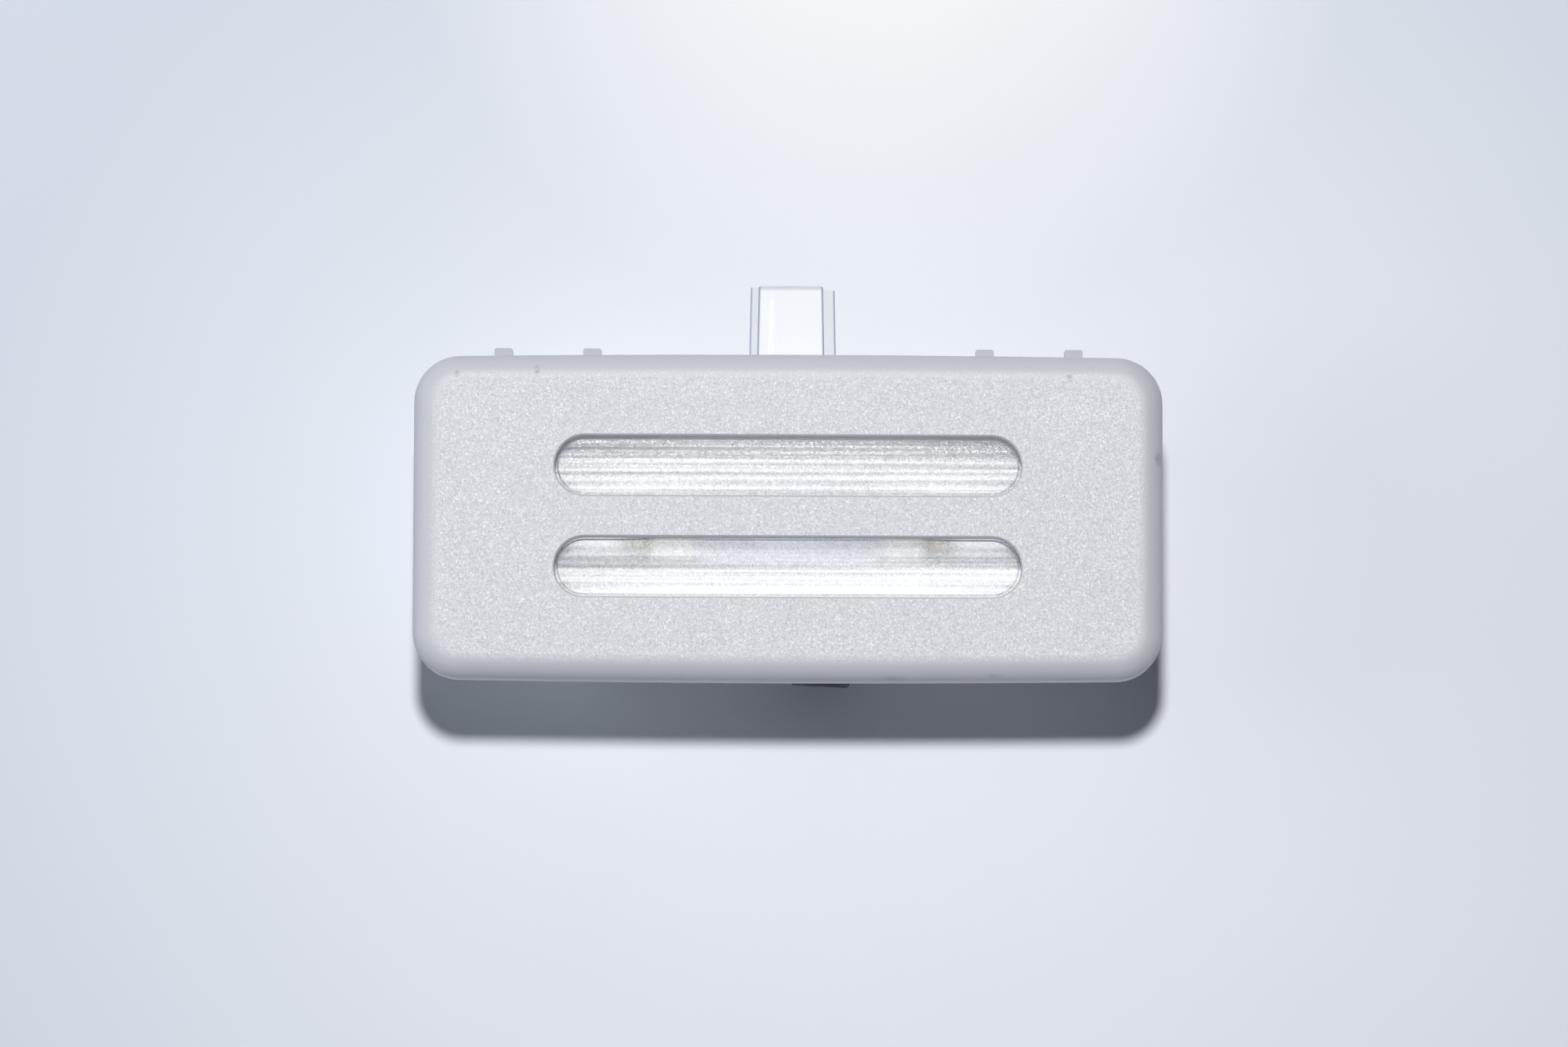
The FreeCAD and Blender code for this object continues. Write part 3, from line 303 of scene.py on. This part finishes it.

# Bands across the two slots: where each rises and falls along Y, and its three levels. The frosting
# is thinner along the top of the first, painted shade greys the upper half of the second, up to its top
# only near its ends, and the haze is stronger along the lower parts
THIN_FIRST = (mm(5.4, 6.3), mm(6.7, 7.1), (0.0, 0.42, 0.30))
SHADE_SECOND = (mm(-5.1, -4.6), mm(-3.8, -1.9), (0.0, 1.0, 0.0))
SHADE_ENDS = (mm(-5.1, -4.6), mm(-1.0, 0.0), (0.0, 1.0, 0.0))
HAZE_FIRST = (mm(2.2, 2.9), mm(4.6, 5.2), (0.0, 0.20, 0.12))
HAZE_SECOND = (mm(-7.0, -6.2), mm(-5.3, -4.9), (0.28, 0.64, 0.12))
SLOT_ENDS = mm(13.0, 16.0)


def lens_tint(shader, spot, pads, beyond, tongue):
    """Clear pads and wings, a paler middle of the tongue greying with painted shade towards its tip, painted
    shade on the tip, painted dark lines on its edges, painted shade greying parts of the slots, a hair.
    """
    facing = shader.split(shader.normal)
    sideways = shader.math("ABSOLUTE", facing["X"])
    flank = shader.times(shader.spread(sideways, FLANK_FROM), shader.spread(sideways, FLANK_TO, FALLING))
    tip = shader.spread(facing["Y"], TIP_SLOPES)
    tint = shader.mix(beyond, PAD_TINT, WING_TINT)
    # Painted shade: the middle greys towards the tip, the tip greys and the flanks darken
    tint = shader.mix(tongue, tint, shader.blend(spot["Y"], MIDDLE_FADE, MIDDLE_TINTS))
    tint = shader.mix(shader.times(tip, beyond), tint, TIP_SHADE_TINT)
    tint = shader.mix(shader.times(flank, beyond), tint, FLANK_SHADE_TINT)

    # Painted shade: grey on the pads over the second slot's upper half and near the slots' ends
    ends = shader.spread(shader.math("ABSOLUTE", spot["X"]), SLOT_ENDS)
    ends = shader.times(ends, shader.band(spot["Y"], *SHADE_ENDS))
    slot_shade = shader.math("MAXIMUM", ends, shader.band(spot["Y"], *SHADE_SECOND))
    tint = shader.mix(shader.times(slot_shade, pads), tint, SLOT_SHADE_TINT)
    hair = shader.times(shader.near(*HAIR), pads)
    return shader.mix(shader.times(hair, HAIR_STRENGTH), tint, HAIR_TINT)


def lens_normal(shader, pads, lines):
    """Flutes softened, fine lines wavering and tiny facets, all on the pads only."""
    ease = shader.join(X=1.0, Y=shader.spread(pads, RISING, (1.0, FLUTE_SHOW)), Z=1.0)
    softened = shader.vector("MULTIPLY", shader.normal, ease)
    waver = shader.times(shader.math("SUBTRACT", lines, 0.5), shader.times(pads, LINE_LEAN))
    uneven = shader.vector("ADD", softened, shader.join(Y=waver))
    turned, _ = shader.facets(PAD_FACETS, shader.times(pads, PAD_LEAN), uneven)
    return turned


def clear_plastic():
    """Clear moulding: fine lines, frost and haze on the pads, frost and clouds on the tongue."""
    shader = Shader("clear_plastic", IOR=PLASTIC_IOR)
    spot = shader.split(shader.place)
    pads = shader.spread(spot["Z"], (RIM_Z, RIM_Z + PAD_RISE))
    beyond = shader.spread(spot["Y"], TONGUE_FROM)
    raised = shader.spread(spot["Z"], (TONGUE_Z - MIDDLE_DEEP, TONGUE_Z - MIDDLE_SHALLOW))
    tongue = shader.times(raised, beyond)
    lines = shader.streaks(25, 3400, 2400, detail=2)

    speckle = shader.noise(scale=5200, detail=3, roughness=0.6)
    frost = shader.times(pads, shader.spread(speckle, NARROW, PAD_FROST))
    frost = shader.times(frost, shader.math("SUBTRACT", 1.0, shader.band(spot["Y"], *THIN_FIRST)))
    frost = shader.math("ADD", frost, shader.times(tongue, TONGUE_FROST))

    haze = [shader.band(spot["Y"], *slot) for slot in (HAZE_FIRST, HAZE_SECOND)]
    milk = shader.times(shader.spread(lines, NARROW), shader.math("MAXIMUM", *haze))
    cloudy = shader.spread(shader.noise(scale=260, detail=3), NARROW, TONGUE_CLOUD)
    milk = shader.math("ADD", shader.times(milk, pads), shader.times(tongue, cloudy))
    return shader.set(
        Base_Color=lens_tint(shader, spot, pads, beyond, tongue),
        Transmission_Weight=shader.math("SUBTRACT", 1.0, milk),
        Roughness=shader.math("ADD", frost, LEAST_ROUGH),
        Normal=lens_normal(shader, pads, lines),
    )


# Housing and reflector: tints and roughness, and painted shade darkening the reflector's ends along X
HOUSING_TINTS = ((0.80, 0.80, 0.78, 1), (0.86, 0.86, 0.85, 1))
HOUSING_ROUGH = (0.40, 0.55)
ENAMEL_TINTS = ((0.935, 0.95, 0.975, 1), (0.965, 0.975, 0.99, 1))
ENAMEL_ROUGH = (0.30, 0.42)
ENAMEL_ENDS = mm(14, 19)
# Painted shade on the reflector's ends
ENAMEL_END_SHADE = (0.72, 0.74, 0.78, 1)
ENAMEL_END_SHADE_LEVELS = (0.0, 0.8)


def white_plastic():
    """Satin white moulding of the housing."""
    shader = Shader("housing_plastic")
    cloud = shader.noise(scale=160, detail=4)
    fine = shader.noise(scale=3000, detail=2)
    return shader.set(
        Base_Color=shader.blend(cloud, WIDE, HOUSING_TINTS),
        Roughness=shader.spread(fine, WIDE, HOUSING_ROUGH),
        Normal=shader.bump(fine, depth=0.01 * MM, strength=0.4),
    )


def white_enamel():
    """White-enamelled sheet of the reflector, with faint streaks along the light and painted shade darkening
    its ends.
    """
    shader = Shader("reflector_white")
    lines = shader.streaks(60, 3000, 3000, detail=3)
    along = shader.math("ABSOLUTE", shader.split(shader.place)["X"])
    # Painted shade: the ends along X turn darker
    ends = shader.spread(along, ENAMEL_ENDS, ENAMEL_END_SHADE_LEVELS)
    return shader.set(
        Base_Color=shader.mix(ends, shader.blend(lines, WIDE, ENAMEL_TINTS), ENAMEL_END_SHADE),
        Roughness=shader.spread(lines, WIDE, ENAMEL_ROUGH),
        Normal=shader.bump(lines, depth=0.004 * MM, strength=0.4),
    )


# Metals and glass: bright and dull tints, the smoothest finish, and how much rougher it gets
CONTACT_TINTS = ((0.78, 0.69, 0.51, 1), (0.70, 0.61, 0.45, 1))
CONTACT_SHEEN = 0.40
CAP_TINTS = ((0.82, 0.80, 0.74, 1), (0.76, 0.735, 0.665, 1))
CAP_SHEEN = 0.50
SHEEN_SPREAD = 0.16
TARNISH = (0.4, 0.7)
SPRING_TINTS = ((0.085, 0.095, 0.12, 1), (0.13, 0.14, 0.165, 1))
SPRING_METALLIC = 0.7
SPRING_RUB = (0.5, 0.75)
SPRING_ROUGH = (0.32, 0.5)
WIRE_TINTS = ((0.28, 0.28, 0.29, 1), (0.42, 0.42, 0.43, 1))
WIRE_ROUGH = (0.3, 0.5)
TUBE_TINT = (0.83, 0.83, 0.88, 1)
TUBE_IOR = 1.5


def stamped_brass(name, tints, sheen):
    """Brass strip with a little tarnish."""
    shader = Shader(name, Metallic=1.0)
    tarnish = shader.noise(scale=420, detail=5, roughness=0.65)
    scratches = shader.streaks(300, 6000, 6000, detail=2)
    return shader.set(
        Base_Color=shader.blend(tarnish, TARNISH, tints),
        Roughness=shader.spread(scratches, WIDE, (sheen, sheen + SHEEN_SPREAD)),
        Normal=shader.bump(scratches, depth=0.004 * MM, strength=0.5),
    )


def black_steel():
    """Spring strip with a slate-dark oxide finish, rubbed paler in places."""
    shader = Shader("spring_steel", Metallic=SPRING_METALLIC)
    rub = shader.noise(scale=700, detail=5, roughness=0.6)
    return shader.set(
        Base_Color=shader.blend(rub, SPRING_RUB, SPRING_TINTS),
        Roughness=shader.spread(rub, WIDE, SPRING_ROUGH),
        Normal=shader.bump(rub, depth=0.006 * MM, strength=0.5),
    )


def drawn_wire():
    """Dull grey wire of the filament and its leads."""
    shader = Shader("filament_wire", Metallic=1.0)
    grain = shader.noise(scale=2600, detail=3)
    return shader.set(
        Base_Color=shader.blend(grain, WIDE, WIRE_TINTS),
        Roughness=shader.spread(grain, WIDE, WIRE_ROUGH),
    )


def tube_glass():
    """Thin clear glass of the bulb, a little grey, with slight waviness."""
    shader = Shader("bulb_glass", Base_Color=TUBE_TINT, Transmission_Weight=1.0, IOR=TUBE_IOR, Roughness=0.0)
    waves = shader.noise(scale=250, detail=1)
    return shader.set(Normal=shader.bump(waves, depth=0.02 * MM, strength=0.3))


def dress(material, *nodes):
    for name in nodes:
        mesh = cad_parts[name].data
        mesh.materials.clear()
        mesh.materials.append(material)


def dress_all():
    """Give every node its material; clear pieces let the lamps shine through them."""
    for name in ("lens", "bulb_glass"):
        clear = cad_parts[name]
        clear.visible_shadow = False
        clear.visible_diffuse = False
        clear.visible_glossy = False
    dress(bezel_plastic(), "bezel")
    dress(clear_plastic(), "lens")
    dress(white_plastic(), "housing")
    dress(white_enamel(), "reflector")
    dress(stamped_brass("contact_brass", CONTACT_TINTS, CONTACT_SHEEN), "contact_left", "contact_right")
    dress(stamped_brass("cap_brass", CAP_TINTS, CAP_SHEEN), "bulb_cap_left", "bulb_cap_right")
    dress(black_steel(), "retaining_spring")
    dress(tube_glass(), "bulb_glass")
    dress(drawn_wire(), "bulb_filament", "bulb_lead_left", "bulb_lead_right")


# Floor: a pale sheet with a painted pool of light near the upper side and painted shade far out
FLOOR_SIZE = 3.0
FLOOR_NEAR = (0.85, 0.874, 0.925, 1)
FLOOR_FAR = (0.675, 0.725, 0.81, 1)
FLOOR_PAINTED_GLOW = (0.97, 0.975, 0.99, 1)
FLOOR_ROUGH = 0.7
FLOOR_SHINE = 0.2
FLOOR_CLOUD = (0.0, 0.04)
SHADE_FROM = (14 * MM, -18 * MM, 0)
SHADE_AT = 102 * MM
SHADE_CURVE = 2.0
GLOW_AT = (10 * MM, 70 * MM, 0)
GLOW_CORE = 16 * MM
GLOW_REACH = 50 * MM


def make_floor():
    bpy.ops.mesh.primitive_plane_add(size=FLOOR_SIZE, location=(0, 0, 0))
    floor = bpy.context.object
    floor.name = "floor"
    shader = Shader("pale_floor", Roughness=FLOOR_ROUGH, Specular_IOR_Level=FLOOR_SHINE)

    def away(spot):
        return shader.length(shader.vector("SUBTRACT", shader.place, spot))

    # Painted shade far out and a painted pool of light near the upper side
    far = shader.math("POWER", shader.spread(away(SHADE_FROM), (0.0, SHADE_AT)), SHADE_CURVE)
    glow = shader.spread(away(GLOW_AT), (GLOW_CORE, GLOW_REACH), FALLING)
    cloud = shader.spread(shader.noise(scale=60, detail=4), WIDE, FLOOR_CLOUD)
    tint = shader.mix(far, FLOOR_NEAR, FLOOR_FAR)
    tint = shader.mix(glow, tint, FLOOR_PAINTED_GLOW)
    tint = shader.mix(cloud, tint, FLOOR_FAR)
    floor.data.materials.append(shader.set(Base_Color=tint))


# Studio light: one soft key from the upper side, weak fills from the left and the front, a pale surround
KEY_WAY = Vector((-0.015, 0.286, 1.0))
KEY_DISTANCE = 0.9
KEY_SIZE = 0.078
KEY_POWER = 6.6
FILL_WAY = Vector((-1.0, 0.12, 0.5))
FILL_POWER = 0.85
FRONT_WAY = Vector((0.25, -1.0, 0.25))
FRONT_POWER = 0.36
SOFT_DISTANCE = 0.6
SOFT_SIZE = 0.35
AMBIENT = 0.012
WHITE = (1.0, 1.0, 1.0)
COOL = (0.83, 0.91, 1.0)
SURROUND = (0.86, 0.90, 0.96, 1)


def add_lamp(name, way, distance, size, power, tint):
    lamp = bpy.data.lights.new(name, "AREA")
    lamp.color = tint
    lamp.shape = "DISK"
    lamp.size = size
    lamp.energy = power
    holder = bpy.data.objects.new(name, lamp)
    holder.location = way.normalized() * distance
    holder.rotation_euler = way.to_track_quat("Z", "Y").to_euler()
    bpy.context.scene.collection.objects.link(holder)


def make_surround():
    """A pale surround that is seen directly, mirrored or through clear pieces, but lights only faintly."""
    world = bpy.data.worlds.new("studio")
    bpy.context.scene.world = world
    world.use_nodes = True
    tree = world.node_tree
    back = tree.nodes["Background"]
    back.inputs["Color"].default_value = SURROUND
    rays = tree.nodes.new("ShaderNodeLightPath").outputs

    def either(first, second):
        node = tree.nodes.new("ShaderNodeMath")
        node.operation = "MAXIMUM"
        tree.links.new(first, node.inputs[0])
        tree.links.new(second, node.inputs[1])
        return node.outputs[0]

    seen = either(rays["Is Camera Ray"], rays["Is Glossy Ray"])
    seen = either(seen, rays["Is Transmission Ray"])
    level = tree.nodes.new("ShaderNodeMapRange")
    level.inputs["To Min"].default_value = AMBIENT
    level.inputs["To Max"].default_value = 1.0
    tree.links.new(seen, level.inputs["Value"])
    tree.links.new(level.outputs["Result"], back.inputs["Strength"])


def make_lights():
    add_lamp("key", KEY_WAY, KEY_DISTANCE, KEY_SIZE, KEY_POWER, WHITE)
    add_lamp("fill", FILL_WAY, SOFT_DISTANCE, SOFT_SIZE, FILL_POWER, COOL)
    add_lamp("front", FRONT_WAY, SOFT_DISTANCE, SOFT_SIZE, FRONT_POWER, COOL)
    make_surround()


# Camera: almost straight down, leaning a little to the spring side
AIM = Vector((-0.39 * MM, -0.74 * MM, FACE_Z))
CAMERA_TILT = math.radians(4.8)
CAMERA_ROLL = math.radians(0.2)
CAMERA_DISTANCE = 0.7056
FOCAL_PIXELS = 9144
PHOTO_WIDTH = 2000
SENSOR_WIDTH = 36
CLIP_START = 0.01


def make_camera():
    data = bpy.data.cameras.new("camera")
    data.sensor_width = SENSOR_WIDTH
    data.lens = FOCAL_PIXELS / PHOTO_WIDTH * SENSOR_WIDTH
    data.clip_start = CLIP_START
    camera = bpy.data.objects.new("camera", data)
    back = Vector((0, -math.sin(CAMERA_TILT), math.cos(CAMERA_TILT)))
    right = Vector((1, 0, 0))
    up = back.cross(right)
    turn = Matrix.Rotation(CAMERA_ROLL, 3, back)
    axes = Matrix((turn @ right, turn @ up, back)).transposed()
    camera.matrix_world = Matrix.Translation(AIM + back * CAMERA_DISTANCE) @ axes.to_4x4()
    bpy.context.scene.collection.objects.link(camera)
    bpy.context.scene.camera = camera


dress_all()
make_floor()
make_lights()
make_camera()
bpy.context.scene.view_settings.view_transform = "Standard"
